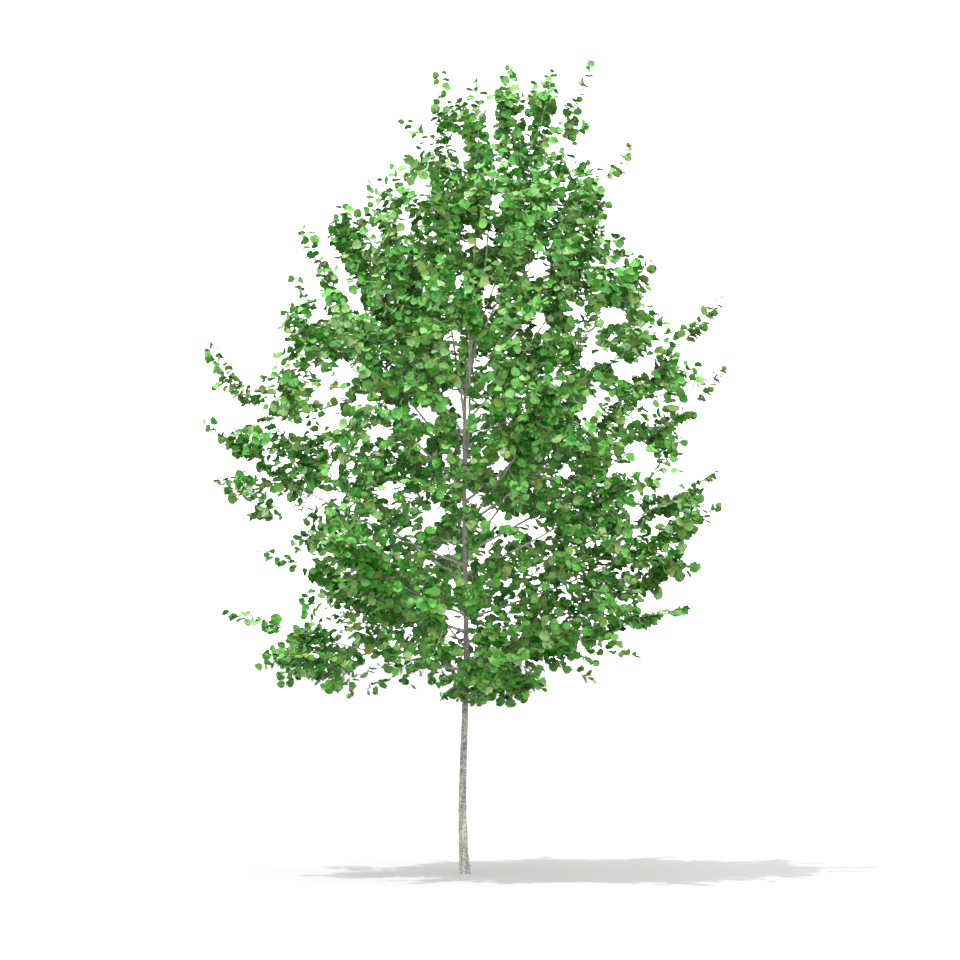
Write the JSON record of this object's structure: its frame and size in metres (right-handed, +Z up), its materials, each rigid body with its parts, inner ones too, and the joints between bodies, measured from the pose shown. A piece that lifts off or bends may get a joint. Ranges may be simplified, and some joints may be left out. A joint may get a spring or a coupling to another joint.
{
  "type": "alder tree",
  "caption": "Young single-trunk alder in full summer leaf: slender flared trunk cut flat at ground level, ascending boughs and an open oval crown of leafy twigs.",
  "frame": {"origin": "centre of the trunk's flat cut at ground level", "axes": "+Z up the trunk, -Y towards the viewer of the front view, +X to that viewer's right"},
  "size_m": [3.4091, 3.2101, 5.1852],
  "materials": {
    "bark": "pale grey-beige young bark, matt, faintly mottled",
    "foliage": "soft green leaves, satin above and paler olive below, on thin grey twigs"
  },
  "bodies": {
    "root": {"bough_back_1": "bark", "bough_back_2": "bark", "bough_back_3": "bark", "bough_back_4": "bark", "bough_back_5": "bark", "bough_front_1": "bark", "bough_front_2": "bark", "bough_front_3": "bark", "bough_front_4": "bark", "bough_front_5": "bark", "bough_left_1": "bark", "bough_left_2": "bark", "bough_left_3": "bark", "bough_left_4": "bark", "bough_left_5": "bark", "bough_right_1": "bark", "bough_right_2": "bark", "bough_right_3": "bark", "bough_right_4": "bark", "bough_right_5": "bark", "mass_back_1": "foliage", "mass_back_2": "foliage", "mass_back_3": "foliage", "mass_back_4": "foliage", "mass_back_5": "foliage", "mass_back_6": "foliage", "mass_back_7": "foliage", "mass_back_8": "foliage", "mass_front_1": "foliage", "mass_front_2": "foliage", "mass_front_3": "foliage", "mass_front_4": "foliage", "mass_front_5": "foliage", "mass_front_6": "foliage", "mass_front_7": "foliage", "mass_front_8": "foliage", "mass_left_1": "foliage", "mass_left_10": "foliage", "mass_left_2": "foliage", "mass_left_3": "foliage", "mass_left_4": "foliage", "mass_left_5": "foliage", "mass_left_6": "foliage", "mass_left_7": "foliage", "mass_left_8": "foliage", "mass_left_9": "foliage", "mass_lesser_leader": "foliage", "mass_right_1": "foliage", "mass_right_10": "foliage", "mass_right_11": "foliage", "mass_right_2": "foliage", "mass_right_3": "foliage", "mass_right_4": "foliage", "mass_right_5": "foliage", "mass_right_6": "foliage", "mass_right_7": "foliage", "mass_right_8": "foliage", "mass_right_9": "foliage", "mass_top": "foliage", "trunk": "bark"}
  },
  "joints": []
}
